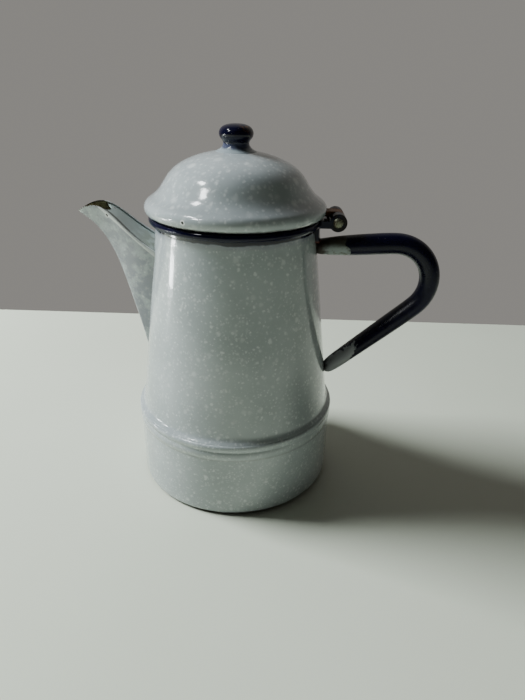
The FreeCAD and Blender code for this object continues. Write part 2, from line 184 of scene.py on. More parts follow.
def drill(piece, holes, depth, sides=20):
    """Drills round holes through a piece: each is (place, direction, radius), in mm."""
    pick(None)
    drills = []
    for place, direction, radius in holes:
        bpy.ops.mesh.primitive_cylinder_add(vertices=sides, radius=radius * MM, depth=depth * MM)
        tool = bpy.context.object
        turn = Vector((0, 0, 1)).rotation_difference(Vector(direction))
        tool.matrix_world = Matrix.Translation(Vector(place) * MM) @ turn.to_matrix().to_4x4()
        drills.append(tool)
    for tool in drills:
        tool.select_set(True)
    bpy.context.view_layer.objects.active = drills[0]
    bpy.ops.object.join()
    cut_away(piece, drills[0])


STRAINER_HOLE = 1.5
strainer = []
for row in range(5):
    row_height = NECK_FOOT - 8.0 * (row + 1.75)
    for place in range(6 - row):
        sideways = (place - (5 - row) / 2) * 4.4
        strainer.append(((-wall_radius(row_height), sideways, row_height), (-1, 0, 0), STRAINER_HOLE))
drill(pot_wall, strainer, depth=9)
smooth_off(pot_wall, 0)
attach(pot_wall, "pot")
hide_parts("body_cone")


# ---------------------------------------------------------------------------
# Speckled enamel. A pale blue-grey glass glaze over the steel, spattered with
# off-white while wet, then fired. It chips to bare black steel with a white edge.
# ---------------------------------------------------------------------------

def new_group(name, inputs, outputs):
    """An empty shader node group with named value, colour or vector sockets."""
    group = bpy.data.node_groups.new(name, "ShaderNodeTree")
    kinds = {"value": "NodeSocketFloat", "colour": "NodeSocketColor", "vector": "NodeSocketVector"}
    for socket, kind, start in inputs:
        made = group.interface.new_socket(name=socket, in_out="INPUT", socket_type=kinds[kind])
        made.default_value = start
    for socket, kind in outputs:
        group.interface.new_socket(name=socket, in_out="OUTPUT", socket_type=kinds[kind])
    return group, group.nodes.new("NodeGroupInput"), group.nodes.new("NodeGroupOutput")


class Bench:
    """Puts nodes on one tree and joins them, so that a material reads as a list of steps."""

    def __init__(self, tree):
        self.tree = tree

    def join(self, source, socket):
        """Feeds a socket from another socket, or gives it a constant."""
        if isinstance(source, bpy.types.NodeSocket):
            self.tree.links.new(source, socket)
        elif source is not None:
            socket.default_value = source

    def node(self, kind, settings=None, **feeds):
        """Adds a node, sets its own settings and feeds its inputs by name."""
        made = self.tree.nodes.new(kind)
        for name, value in (settings or {}).items():
            setattr(made, name, value)
        for name, source in feeds.items():
            self.join(source, made.inputs[name.replace("_", " ")])
        return made

    def sum(self, how, first, second=None, third=None):
        """A value worked out from one, two or three others."""
        made = self.node("ShaderNodeMath", {"operation": how})
        for source, socket in zip((first, second, third), made.inputs):
            self.join(source, socket)
        return made.outputs[0]

    def blur_step(self, value, low, high, bottom=0.0, top=1.0):
        """A smooth change from bottom to top as a value goes from low to high."""
        made = self.node("ShaderNodeMapRange", {"interpolation_type": "SMOOTHSTEP"})
        for socket, source in zip(made.inputs, (value, low, high, bottom, top)):
            self.join(source, socket)
        return made.outputs[0]

    def tint(self, share, under, over):
        """One colour laid over another by a share from 0 to 1."""
        made = self.node("ShaderNodeMix", {"data_type": "RGBA"})
        self.join(share, made.inputs[0])
        self.join(under, made.inputs[6])
        self.join(over, made.inputs[7])
        return made.outputs[2]

    def noise(self, where, scale, detail=3.0, rough=0.5):
        """Soft cloudy noise from 0 to 1."""
        made = self.node("ShaderNodeTexNoise", Vector=where, Scale=scale, Detail=detail, Roughness=rough)
        return made.outputs[0]


def build_spatter():
    """Off-white spatter drops of mixed sizes, with the thick and thin of the glaze."""
    group, given, result = new_group(
        "glaze spatter",
        [("Drops Per Metre", "value", 400.0), ("Amount", "value", 0.5)],
        [("Spatter", "value"), ("Cloud", "value"), ("Height", "value")],
    )
    b = Bench(group)
    place = b.node("ShaderNodeTexCoord").outputs["Object"]
    wobble = b.node("ShaderNodeTexNoise", Vector=place, Scale=520.0, Detail=2.0).outputs[1]
    shifted = b.node("ShaderNodeVectorMath", {"operation": "MULTIPLY_ADD"})
    b.join(wobble, shifted.inputs[0])
    b.join((0.0018, 0.0018, 0.0018), shifted.inputs[1])
    b.join(place, shifted.inputs[2])
    crowd = b.noise(place, 75.0, 3.0, 0.6)
    layers = []
    for finer, share in ((1.0, 0.52), (1.6, 0.42), (0.6, 0.85)):
        scale = b.sum("MULTIPLY", given.outputs[0], finer)
        drops = b.node("ShaderNodeTexVoronoi", {"feature": "F1"}, Vector=shifted.outputs[0], Scale=scale)
        chance = b.node("ShaderNodeSeparateColor", Color=drops.outputs["Color"])
        size = b.sum("MULTIPLY_ADD", chance.outputs[0], 0.26, 0.12)
        shown = b.sum("MULTIPLY_ADD", crowd, 1.2, given.outputs[1])
        shown = b.sum("GREATER_THAN", b.sum("SUBTRACT", shown, chance.outputs[1]), share)
        edge = b.sum("SUBTRACT", drops.outputs["Distance"], size)
        drop = b.blur_step(edge, -0.20, 0.12, 1.0, 0.0)
        strength = b.sum("MULTIPLY_ADD", chance.outputs[2], 0.7, 0.3)
        layers.append(b.sum("MULTIPLY", b.sum("MULTIPLY", drop, shown), strength))
    spatter = b.sum("MAXIMUM", b.sum("MAXIMUM", layers[0], layers[1]), layers[2])
    b.join(spatter, result.inputs["Spatter"])
    b.join(b.noise(place, 26.0, 4.0, 0.55), result.inputs["Cloud"])
    ripple = b.noise(place, 190.0, 2.0, 0.5)
    b.join(b.sum("ADD", ripple, b.sum("MULTIPLY", spatter, 0.25)), result.inputs["Height"])
    return group


def build_chip():
    """One small chip at a place: the bare spot, and the white broken edge round it."""
    group, given, result = new_group(
        "enamel chip",
        [("Place", "vector", (0, 0, 0)), ("Radius", "value", 0.0006)],
        [("Bare", "value"), ("Edge", "value")],
    )
    b = Bench(group)
    place = b.node("ShaderNodeTexCoord").outputs["Object"]
    away = b.node("ShaderNodeVectorMath", {"operation": "DISTANCE"})
    b.join(place, away.inputs[0])
    b.join(given.outputs[0], away.inputs[1])
    ragged = b.sum("MULTIPLY_ADD", b.noise(place, 1500.0, 2.0), 0.9, 0.55)
    share = b.sum("DIVIDE", away.outputs["Value"], b.sum("MULTIPLY", given.outputs[1], ragged))
    b.join(b.blur_step(share, 0.85, 1.05, 1.0, 0.0), result.inputs["Bare"])
    b.join(b.blur_step(share, 1.5, 2.1, 1.0, 0.0), result.inputs["Edge"])
    return group


SPATTER = build_spatter()
CHIP = build_chip()
GLAZE = (0.45, 0.50, 0.51, 1)
GLAZE_THIN = (0.34, 0.385, 0.395, 1)
DROP_WHITE = (0.80, 0.84, 0.82, 1)
BARE_STEEL = (0.012, 0.010, 0.010, 1)


def new_material(name):
    """A material with an empty bench, its place on the piece and its own shader."""
    material = bpy.data.materials.new(name)
    material.use_nodes = True
    material.node_tree.nodes.clear()
    b = Bench(material.node_tree)
    shader = b.node("ShaderNodeBsdfPrincipled")
    output = b.node("ShaderNodeOutputMaterial")
    b.join(shader.outputs[0], output.inputs["Surface"])
    place = b.node("ShaderNodeTexCoord").outputs["Object"]
    return material, b, shader, place


def bump(b, shader, height, depth):
    """Feeds a shader's normal from a height pattern, depth in metres."""
    made = b.node("ShaderNodeBump", Strength=1.0, Distance=depth, Height=height)
    b.join(made.outputs[0], shader.inputs["Normal"])


def speckled_enamel(name, chips=(), amount=0.5, fineness=400.0, extra=None):
    """Pale speckled glaze, with chips at given places and any extra stains and painted light."""
    material, b, shader, place = new_material(name)
    glaze = b.node("ShaderNodeGroup", {"node_tree": SPATTER})
    glaze.inputs["Drops Per Metre"].default_value = fineness
    glaze.inputs["Amount"].default_value = amount
    colour = b.tint(b.blur_step(glaze.outputs["Cloud"], 0.3, 0.7), GLAZE_THIN, GLAZE)
    colour = b.tint(b.sum("MULTIPLY", glaze.outputs["Spatter"], 0.60), colour, DROP_WHITE)
    if extra:
        colour = extra(b, place, colour)
    bare = None
    for spot, radius in chips:
        chip = b.node("ShaderNodeGroup", {"node_tree": CHIP})
        chip.inputs["Place"].default_value = Vector(spot) * MM
        chip.inputs["Radius"].default_value = radius * MM
        colour = b.tint(chip.outputs["Edge"], colour, (0.78, 0.80, 0.78, 1))
        colour = b.tint(chip.outputs["Bare"], colour, BARE_STEEL)
        bare = chip.outputs["Bare"] if bare is None else b.sum("MAXIMUM", bare, chip.outputs["Bare"])
    b.join(colour, shader.inputs["Base Color"])
    b.join(b.blur_step(glaze.outputs["Cloud"], 0.25, 0.75, 0.11, 0.19), shader.inputs["Roughness"])
    shader.inputs["Coat Weight"].default_value = 0.6
    shader.inputs["Coat Roughness"].default_value = 0.03
    height = glaze.outputs["Height"]
    if bare is not None:
        height = b.sum("SUBTRACT", height, b.sum("MULTIPLY", bare, 2.0))
    bump(b, shader, height, 0.00006)
    return material


def dress(piece, material):
    """Gives a piece one material all over."""
    piece.data.materials.clear()
    piece.data.materials.append(material)


def wall_stains(b, place, colour):
    """The rim's cobalt dip with its overspray, and rust round the two welds of the handle."""
    xyz = b.node("ShaderNodeSeparateXYZ", Vector=place)
    wander = b.sum("MULTIPLY_ADD", b.sum("SUBTRACT", b.noise(place, 90.0), 0.5), 0.003, xyz.outputs[2])
    colour = b.tint(b.blur_step(wander, 0.1405, 0.1442, 0.0, 0.5), colour, (0.16, 0.15, 0.22, 1))
    colour = b.tint(b.blur_step(wander, 0.1438, 0.1446), colour, (0.004, 0.004, 0.016, 1))
    for spot, size in (((42.5, 0, 134), 0.011), ((51.0, 0, 61.5), 0.010), ((42.5, 0, 139.0), 0.013)):
        away = b.node("ShaderNodeVectorMath", {"operation": "DISTANCE"})
        b.join(place, away.inputs[0])
        b.join(Vector(spot) * MM, away.inputs[1])
        ragged = b.sum("ADD", away.outputs["Value"], b.sum("MULTIPLY", b.noise(place, 260.0), 0.006))
        rust = b.blur_step(ragged, size * 0.72, size, 0.92, 0.0)
        colour = b.tint(rust, colour, (0.05, 0.024, 0.016, 1))
    return colour


dress(pot_wall, speckled_enamel("wall_enamel", amount=0.68, extra=wall_stains))


# ---------------------------------------------------------------------------
# The base. A drawn steel cup with a flat bottom and a rounded corner. Its lip is
# rolled over the wall's skirt into a double bead that locks the seam.
# ---------------------------------------------------------------------------

bead = (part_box("body_base")[1] / MM).x
BASE_RADIUS = 55.0
base_cup = raise_round("base_cup", [
    (20, 0), (44, 0), (51.4, 0), (53.0, 0.25), (54.3, 1.0), (54.9, 2.2), (BASE_RADIUS, 3.6),
    (BASE_RADIUS, 14), (BASE_RADIUS, 26), (BASE_RADIUS, 35.2), (BASE_RADIUS, 36.4),
    (BASE_RADIUS + 0.25, 37.0), (bead - 0.25, 37.8), (bead - 0.12, 38.8), (bead - 0.2, 39.8),
    (bead - 0.5, 40.7), (bead - 0.72, 41.25), (bead - 0.5, 41.8), (bead - 0.1, 42.6), (bead, 43.5),
    (bead - 0.15, 44.3), (bead - 0.6, 45.0), (54.5, SEAM_HEIGHT),
    (54.15, SEAM_HEIGHT), (54.0, 44.6), (54.0, 40), (54.0, 20), (54.0, 4), (53.4, 2.0), (52.0, 1.05),
    (50, SHEET), (30, SHEET), (0, SHEET),
], 72, filled_start=True)
weld_up(base_cup)
smooth_off(base_cup, 2)


def base_wear_and_painted_shade(b, place, colour):
    """A dark line along the bottom edge, partly wear where it rubs and partly painted contact shade, and
    painted shade in the crease under the bead.
    """
    xyz = b.node("ShaderNodeSeparateXYZ", Vector=place)
    wander = b.sum("MULTIPLY", b.noise(place, 120.0), 0.0016)
    height = b.sum("ADD", xyz.outputs[2], wander)
    # Edge wear with painted contact shade: dark along the bottom edge.
    colour = b.tint(b.blur_step(height, 0.0020, 0.0036, 0.95, 0.0), colour, (0.03, 0.027, 0.024, 1))
    # Painted shade in the crease where the drum meets the bead.
    shaded_crease = b.sum("ABSOLUTE", b.sum("SUBTRACT", xyz.outputs[2], 0.0363))
    colour = b.tint(b.blur_step(shaded_crease, 0.0002, 0.0009, 0.35, 0.0), colour, (0.20, 0.20, 0.18, 1))
    return colour


dress(base_cup, speckled_enamel("base_enamel", amount=0.85, fineness=460.0, extra=base_wear_and_painted_shade))
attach(base_cup, "pot")
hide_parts("body_base")


# ---------------------------------------------------------------------------
# The rim. The mouth's edge is rolled outwards and dipped in dark cobalt enamel.
# ---------------------------------------------------------------------------

ROLL = 2.0
roll_middle = (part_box("rim_roll")[1] / MM).x - ROLL
roll_outline = []
for step in range(17):
    turn = 2 * math.pi * step / 16
    roll_outline.append((roll_middle + ROLL * math.cos(turn), neck_top + ROLL * math.sin(turn)))
rim = raise_round("rim", roll_outline, 96)
weld_up(rim)
smooth_off(rim, 1)

COBALT = (0.003, 0.003, 0.016, 1)
COBALT_THIN = (0.009, 0.009, 0.036, 1)


def cobalt_enamel(name, extra=None, gloss=0.35, coat=0.12):
    """Dark cobalt glaze, thinner in places, with fine pits and dull scuffs."""
    material, b, shader, place = new_material(name)
    cloud = b.noise(place, 55.0, 4.0, 0.6)
    pits = b.node("ShaderNodeTexVoronoi", {"feature": "F1"}, Vector=place, Scale=620.0)
    chance = b.node("ShaderNodeSeparateColor", Color=pits.outputs["Color"])
    pit = b.sum("MULTIPLY", b.blur_step(pits.outputs["Distance"], 0.10, 0.28, 1.0, 0.0),
                b.sum("GREATER_THAN", chance.outputs[0], 0.86))
    colour = b.tint(b.blur_step(cloud, 0.45, 0.75), COBALT, COBALT_THIN)
    colour = b.tint(b.sum("MULTIPLY", pit, 0.6), colour, (0.05, 0.045, 0.06, 1))
    rough = b.blur_step(cloud, 0.35, 0.7, 0.10, 0.26)
    if extra:
        colour, rough = extra(b, place, colour, rough)
    b.join(colour, shader.inputs["Base Color"])
    b.join(rough, shader.inputs["Roughness"])
    shader.inputs["Specular IOR Level"].default_value = gloss
    shader.inputs["Coat Weight"].default_value = coat
    shader.inputs["Coat Roughness"].default_value = 0.06
    ripple = b.sum("SUBTRACT", b.noise(place, 210.0, 2.0), b.sum("MULTIPLY", pit, 0.8))
    bump(b, shader, ripple, 0.00008)
    return material


dress(rim, cobalt_enamel("rim_cobalt", gloss=0.18))
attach(rim, "pot")
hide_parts("rim_roll")


# ---------------------------------------------------------------------------
# The spout. One sheet pressed to a deep U with a round keel, welded to the wall.
# Its two edges stand a little proud of the flat strip that closes its top.
# ---------------------------------------------------------------------------

def pull_section(start, end, wide=1.0, deep=1.0):
    """Pulls the selected section from one (place, direction) to the next, in the XZ plane."""
    (place, direction), (next_place, next_direction) = start, end
    bpy.ops.mesh.extrude_region_move(TRANSFORM_OT_translate={"value": next_place - place})
    turn = math.atan2(next_direction.z, next_direction.x) - math.atan2(direction.z, direction.x)
    bpy.ops.transform.rotate(value=turn, orient_axis="Y", center_override=next_place)
    along = next_direction.normalized()
    across = Vector((0, 1, 0))
    bpy.ops.transform.resize(
        value=(1, wide, deep), center_override=next_place, orient_type="GLOBAL",
        orient_matrix=(along, across, along.cross(across)), orient_matrix_type="GLOBAL",
    )


def spout_place(x, z):
    """A place in the plane through the spout and the handle, from mm."""
    return Vector((x, 0, z)) * MM


# Each station is the keel's point, the ridge's point and half the width at the ridge, in mm.
SPOUT_STATIONS = [
    ((-48.0, 68.0), (-36.8, 130.0), 14.8),
    ((-51.0, 84.0), (-40.5, 133.2), 14.8),
    ((-54.4, 98.3), (-44.7, 135.8), 14.4),
    ((-58.5, 115.0), (-50.4, 139.8), 12.9),
    ((-62.0, 126.5), (-55.4, 144.0), 11.4),
    ((-66.0, 135.4), (-60.6, 148.8), 9.9),
    ((-70.4, 141.3), (-65.4, 152.2), 8.4),
    ((-73.8, 144.6), (-69.6, 153.6), 7.2),
    ((-76.9, 146.9), (-73.8, 153.1), 5.9),
    ((-79.0, 148.3), (-77.6, 151.3), 4.2),
    ((-80.1, 149.1), (-79.9, 149.7), 2.2),
]
KEEL_RADIUS = 5.4
SPOUT_SHEET = 0.8


def section_frame(station):
    """The ridge's place and the direction square to the section, which the section is turned by."""
    keel, ridge, _ = station
    down = spout_place(*keel) - spout_place(*ridge)
    return spout_place(*ridge), Vector((down.z, 0, -down.x)).normalized()


first_keel, _, first_half = SPOUT_STATIONS[0]
ridge_place, _ = section_frame(SPOUT_STATIONS[0])
down_keel = spout_place(*first_keel) - ridge_place
keel_centre = ridge_place + down_keel.normalized() * (down_keel.length - KEEL_RADIUS * MM)
lean = math.atan2(down_keel.x, -down_keel.z)
pick(None)
bpy.ops.mesh.primitive_circle_add(
    vertices=24, radius=KEEL_RADIUS * MM, location=keel_centre, rotation=(math.pi / 2, 0, math.pi / 2))
spout = bpy.context.object
open_for_editing(spout)
pick_points(spout, lambda p: p.z > keel_centre.z + 1e-5)
bpy.ops.mesh.delete(type="VERT")
pick_points(spout, lambda p: abs(p.z - keel_centre.z) < 1e-5)
side_steps = 4
half = KEEL_RADIUS
for step in range(1, side_steps + 1):
    next_half = KEEL_RADIUS + (first_half - KEEL_RADIUS) * step / side_steps
    lift = (down_keel.length - KEEL_RADIUS * MM) / side_steps
    bpy.ops.mesh.extrude_region_move(TRANSFORM_OT_translate={"value": (0, 0, lift)})
    bpy.ops.transform.resize(value=(1, next_half / half, 1), center_override=keel_centre)
    half = next_half
for inwards, lift in ((1.0, 0.35), (1.7, -0.25), (1.9, -0.9)):
    bpy.ops.mesh.extrude_region_move(TRANSFORM_OT_translate={"value": (0, 0, lift * MM)})
    bpy.ops.transform.resize(value=(1, (first_half - inwards) / half, 1), center_override=keel_centre)
    half = first_half - inwards
bpy.ops.mesh.select_all(action="SELECT")
bpy.ops.transform.rotate(value=lean, orient_axis="Y", center_override=keel_centre)
for before, after in zip(SPOUT_STATIONS, SPOUT_STATIONS[1:]):
    deep_before = (Vector(before[0]) - Vector(before[1])).length
    deep_after = (Vector(after[0]) - Vector(after[1])).length
    pull_section(section_frame(before), section_frame(after), after[2] / before[2],
                 deep_after / deep_before)
settle(spout, "spout")
weld_up(spout)
for _ in range(2):
    spout.data.materials.append(None)
sheet_share = spout.vertex_groups.new(name="sheet")
for vertex in spout.data.vertices:
    thinned = 1 - (-0.069 - vertex.co.x) / 0.0125
    sheet_share.add([vertex.index], min(1.0, max(0.1, thinned)), "REPLACE")
finish_with(spout, "SOLIDIFY", thickness=SPOUT_SHEET * MM, offset=-1, material_offset=1,
            vertex_group="sheet")
smooth_off(spout, 2)


def wall_plug():
    """The space inside the pot's wall as one solid, to cut a welded piece to the wall's curve."""
    outline = [(wall_radius(55), 55), (wall_radius(100), 100), (MOUTH_RADIUS, NECK_FOOT),
               (MOUTH_RADIUS, 160), (0, 160)]
    plug = raise_round("plug", outline, 144, filled_start=True)
    weld_up(plug)
    return plug


cut_away(spout, wall_plug())
smooth_off(spout, 0, 40)


def spout_stains_and_painted_light(b, place, colour):
    """A painted highlight along the two ridges, mottled grey sides partly darkened as painted shade, and
    a bare brown pouring edge.
    """
    xyz = b.node("ShaderNodeSeparateXYZ", Vector=place)
    ridge_highlight_height = b.sum("MULTIPLY_ADD", xyz.outputs[0], 0.80, b.sum("ADD", xyz.outputs[2], -0.10004))
    # Random mottle, its dark grey also painted shade that sets the sides below the lit ridges.
    mottle = b.blur_step(b.noise(place, 170.0, 4.0, 0.6), 0.40, 0.60, 0.15, 0.80)
    colour = b.tint(mottle, colour, (0.20, 0.21, 0.25, 1))
    # Painted highlight: a pale band along the tops of the ridges, where the window's light catches them.
    colour = b.tint(b.blur_step(ridge_highlight_height, -0.0024, -0.0017, 0.0, 0.95), colour, (0.78, 0.81, 0.80, 1))
    from_crest = b.sum("ADD", xyz.outputs[0], 0.0705)
    lip = b.sum("MULTIPLY_ADD", b.sum("MULTIPLY", from_crest, from_crest), -45.0, 0.1537)
    below_lip = b.sum("SUBTRACT", lip, xyz.outputs[2])
    grain = b.sum("SUBTRACT", b.noise(place, 500.0, 3.0), 0.5)
    ragged = b.sum("MULTIPLY_ADD", grain, 0.0012, below_lip)
    bare = b.sum("MULTIPLY", b.blur_step(ragged, 0.00045, 0.0008, 0.95, 0.0),
                 b.blur_step(xyz.outputs[0], -0.0690, -0.0665, 1.0, 0.0))
    return b.tint(bare, colour, (0.045, 0.028, 0.014, 1))


def tannin(b, place, colour):
    """The inside of the spout, stained olive and brown at its mouth."""
    xyz = b.node("ShaderNodeSeparateXYZ", Vector=place)
    stain = b.tint(b.blur_step(b.noise(place, 330.0, 4.0, 0.6), 0.45, 0.68), (0.30, 0.28, 0.14, 1),
                   (0.12, 0.085, 0.035, 1))
    wander = b.sum("MULTIPLY_ADD", b.noise(place, 300.0), 0.003, xyz.outputs[0])
    return b.tint(b.blur_step(wander, -0.0655, -0.0625, 1.0, 0.15), colour, stain)


spout_chips = [((-63.7, -8.3, 149.0), 0.75), ((-57.0, -11.2, 143.9), 0.5)]
spout.data.materials[0] = speckled_enamel("spout_enamel", spout_chips, amount=0.45, extra=spout_stains_and_painted_light)
spout.data.materials[1] = speckled_enamel("spout_inside", amount=0.1, extra=tannin)
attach(spout, "pot")
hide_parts("spout_shell")

# The strip that closes the back of the spout, set just below its two edges and
# notched round at the pouring lip. It is brazed in and glazed with the rest.
STRIP_SHEET = 0.9
STRIP_DROP = 1.15
STRIP_INSET = 0.9
pick(None)
bpy.ops.mesh.primitive_grid_add(x_subdivisions=1, y_subdivisions=8, size=2 * MM)
strip = bpy.context.object
open_for_editing(strip)
pick_points(strip, lambda p: p.x > 0)
bpy.ops.mesh.delete(type="VERT")
bpy.ops.mesh.select_all(action="SELECT")


def strip_frame(station):
    """Where the strip's middle lies at a station, and the way it runs there."""
    ridge, along = section_frame(station)
    down = spout_place(*station[0]) - ridge
    drop = STRIP_DROP * min(1.0, 0.45 + down.length / (90 * MM))
    return ridge + down.normalized() * (drop + STRIP_SHEET / 2) * MM, along


strip_start, _ = strip_frame(SPOUT_STATIONS[0])
bpy.ops.transform.resize(value=(1, first_half - STRIP_INSET, 1), center_override=(0, 0, 0))
bpy.ops.transform.translate(value=strip_start + Vector((MM, 0, 0)))
for before, after in zip(SPOUT_STATIONS[:8], SPOUT_STATIONS[1:9]):
    narrowing = (after[2] - STRIP_INSET) / (before[2] - STRIP_INSET)
    pull_section(strip_frame(before), strip_frame(after), narrowing)
settle(strip, "spout_strip_glazed")
finish_with(strip, "SOLIDIFY", thickness=STRIP_SHEET * MM, offset=0)
weld_up(strip)
finish_with(strip, "BEVEL", width=0.2 * MM, segments=2)
smooth_off(strip, 2)
drill(strip, [((-71.3, 0, 150), (0, 0, 1), 7.5), ((-78.8, 0, 150), (0, 0, 1), 9.0)], depth=40, sides=64)
cut_away(strip, wall_plug())
smooth_off(strip, 0, 40)


def strip_grime_and_painted_light(b, place, colour):
    """Thin green-grey glaze, lightened partly as painted light, with moss-green grime near the wall and
    painted shade in both corners under the ridges.
    """
    xyz = b.node("ShaderNodeSeparateXYZ", Vector=place)
    half = b.sum("MULTIPLY_ADD", xyz.outputs[0], 0.29, 0.02736)
    outside = b.sum("SUBTRACT", b.sum("ABSOLUTE", xyz.outputs[1]), half)
    # Green-grey tint, also lighter as painted light on a strip that faces away from the window.
    colour = b.tint(0.55, colour, (0.66, 0.83, 0.77, 1))
    grime_and_shade = b.noise(place, 160.0, 4.0, 0.6)
    near_wall = b.blur_step(xyz.outputs[0], -0.056, -0.043, 0.08, 0.6)
    colour = b.tint(b.sum("MULTIPLY", b.blur_step(grime_and_shade, 0.35, 0.6), near_wall), colour,
                    (0.16, 0.19, 0.10, 1))
    edge = b.blur_step(xyz.outputs[0], -0.0672, -0.0655, 0.9, 0.0)
    colour = b.tint(edge, colour, (0.035, 0.022, 0.014, 1))
    # Painted shade: dark lines in the corners under the two ridges, wider on the near side.
    shaded_crease = b.sum("ADD", outside, b.sum("MULTIPLY", b.noise(place, 600.0), 0.0005))
    front = b.sum("MULTIPLY", b.blur_step(shaded_crease, -0.0052, -0.0043, 0.0, 0.85),
                  b.sum("LESS_THAN", xyz.outputs[1], 0.0))
    grime_and_shade = b.sum("MAXIMUM", front, b.blur_step(shaded_crease, -0.0020, -0.0013, 0.0, 0.7))
    return b.tint(grime_and_shade, colour, (0.03, 0.034, 0.03, 1))


strip_chips = [((-63.4, 5.2, 149.6), 0.55)]
dress(strip, speckled_enamel("strip_enamel", strip_chips, amount=0.1, extra=strip_grime_and_painted_light))
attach(strip, "pot")
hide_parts("spout_strip")


# ---------------------------------------------------------------------------
# The handle. A sheet-steel tube bent round in one arc, pinched flat at its two
# ends, welded to the wall and dipped in cobalt enamel that stops short of both.
# ---------------------------------------------------------------------------

BEND_MIDDLE = (82.9, 116.9)
BEND_RADIUS = 19.9
HANDLE_RADIUS = 5.8
HANDLE_TOP = (40.5, 133.8)
HANDLE_FOOT = (49.4, 61.5)
BEND_START = 94.1
BEND_END = -49.1


def on_bend(turn):
    """A place on the bend's middle line, at an angle in radians."""
    return spout_place(BEND_MIDDLE[0] + BEND_RADIUS * math.cos(turn),
                       BEND_MIDDLE[1] + BEND_RADIUS * math.sin(turn))


def along_handle():
    """Stations on the handle's middle line: (place, direction, thickness in its plane), in mm."""
    stations = []
    bend_in, bend_out = on_bend(math.radians(BEND_START)), on_bend(math.radians(BEND_END))
    upper = bend_in - spout_place(*HANDLE_TOP)
    lower = spout_place(*HANDLE_FOOT) - bend_out
    for share, thick in ((0, 7.4), (0.12, 8.3), (0.3, 9.9), (0.5, 10.8), (0.75, 11.1)):
        stations.append((spout_place(*HANDLE_TOP) + upper * share, upper, thick))
    for step in range(11):
        turn = math.radians(BEND_START + (BEND_END - BEND_START) * step / 10)
        way = Vector((math.sin(turn), 0, -math.cos(turn)))
        stations.append((on_bend(turn), way, 11.2 - 0.7 * step / 10))
    for share, thick in ((0.25, 10.2), (0.5, 9.5), (0.75, 8.7), (1.0, 7.9)):
        stations.append((bend_out + lower * share, lower, thick))
    return stations


stations = along_handle()
place, way, thick = stations[0]
pick(None)
bpy.ops.mesh.primitive_circle_add(
    vertices=20, radius=HANDLE_RADIUS * MM, fill_type="NGON", location=(0, 0, 0))
handle = bpy.context.object
handle.matrix_world = (Matrix.Translation(place) @ Matrix.Rotation(math.atan2(way.x, way.z), 4, "Y")
                       @ Matrix.Diagonal((thick / (2 * HANDLE_RADIUS), 1, 1, 1)))
bpy.ops.object.transform_apply(location=True, rotation=True, scale=True)
open_for_editing(handle, "FACE")
bpy.ops.mesh.select_all(action="SELECT")
for before, after in zip(stations, stations[1:]):
    pull_section(before[:2], after[:2], 1.0, after[2] / before[2])
settle(handle, "handle_glazed")
weld_up(handle)
smooth_off(handle, 2)
cut_away(handle, wall_plug())
smooth_off(handle, 0, 50)


def handle_wear(b, place, colour, rough):
    """Bare grey ground coat at both ends, where the cobalt dip stops in a ragged line, and rust."""
    xyz = b.node("ShaderNodeSeparateXYZ", Vector=place)
    ragged = b.sum("MULTIPLY", b.sum("SUBTRACT", b.noise(place, 230.0, 4.0, 0.6), 0.5), 0.008)
    slant = b.sum("MULTIPLY_ADD", xyz.outputs[2], 0.25, b.sum("ADD", xyz.outputs[0], ragged))
    upper = b.sum("GREATER_THAN", xyz.outputs[2], 0.1)
    lower = b.sum("LESS_THAN", xyz.outputs[2], 0.1)
    upper_end = b.sum("MULTIPLY", b.blur_step(slant, 0.0905, 0.0917, 1.0, 0.0), upper)
    foot_line = b.sum("MULTIPLY_ADD", ragged, 1.3, xyz.outputs[0])
    across = b.sum("MULTIPLY_ADD", xyz.outputs[0], -0.867, b.sum("ADD", xyz.outputs[2], ragged))
    lower_end = b.sum("MULTIPLY", b.blur_step(foot_line, 0.0650, 0.0662, 1.0, 0.0),
                      b.blur_step(across, 0.0232, 0.0242, 1.0, 0.0))
    bare = b.sum("MAXIMUM", upper_end, b.sum("MULTIPLY", lower_end, lower))
    ground = b.tint(b.blur_step(b.noise(place, 340.0, 4.0, 0.6), 0.5, 0.7), (0.36, 0.41, 0.40, 1),
                    (0.17, 0.17, 0.13, 1))
    top_half = b.sum("MULTIPLY_ADD", ragged, 0.2, xyz.outputs[2])
    ground = b.tint(lower, ground, (0.36, 0.37, 0.39, 1))
    ground = b.tint(b.blur_step(top_half, 0.1345, 0.1372, 0.0, 0.9), ground, (0.055, 0.048, 0.03, 1))
    colour = b.tint(bare, colour, ground)
    upper_weld = b.sum("MULTIPLY", b.blur_step(foot_line, 0.044, 0.049, 1.0, 0.0), upper)
    lower_weld = b.sum("MULTIPLY", b.blur_step(foot_line, 0.0500, 0.0530, 1.0, 0.0), lower)
    weld = b.sum("MULTIPLY", b.sum("MAXIMUM", upper_weld, lower_weld), 0.9)
    colour = b.tint(weld, colour, (0.035, 0.018, 0.012, 1))
    return colour, b.sum("MULTIPLY_ADD", bare, 0.22, b.sum("ADD", rough, 0.14))


dress(handle, cobalt_enamel("handle_cobalt", handle_wear, gloss=0.25, coat=0.02))
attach(handle, "pot")
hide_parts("handle")


# ---------------------------------------------------------------------------
# The hinge on the neck. A curved leg with two arms bent out of it, each rolled
# to a knuckle, and a steel pin peened over at both ends.
# ---------------------------------------------------------------------------

HINGE = (51.0, 148.5)
HINGE_HALF = 10
KNUCKLE = 4.4
LEG = 2.0
LEG_FOOT = 138.4
LEG_TOP = 146.2
ARM_INSIDE = 4
ARM_FOOT = 145.7
ARM_TOP = 149.2


def block(low, high):
    """A rectangular piece between two corners, in mm."""
    pick(None)
    middle = (Vector(low) + Vector(high)) / 2 * MM
    bpy.ops.mesh.primitive_cube_add(size=1, location=middle, scale=(Vector(high) - Vector(low)) * MM)
    bpy.ops.object.transform_apply(location=True, rotation=True, scale=True)
    return bpy.context.object


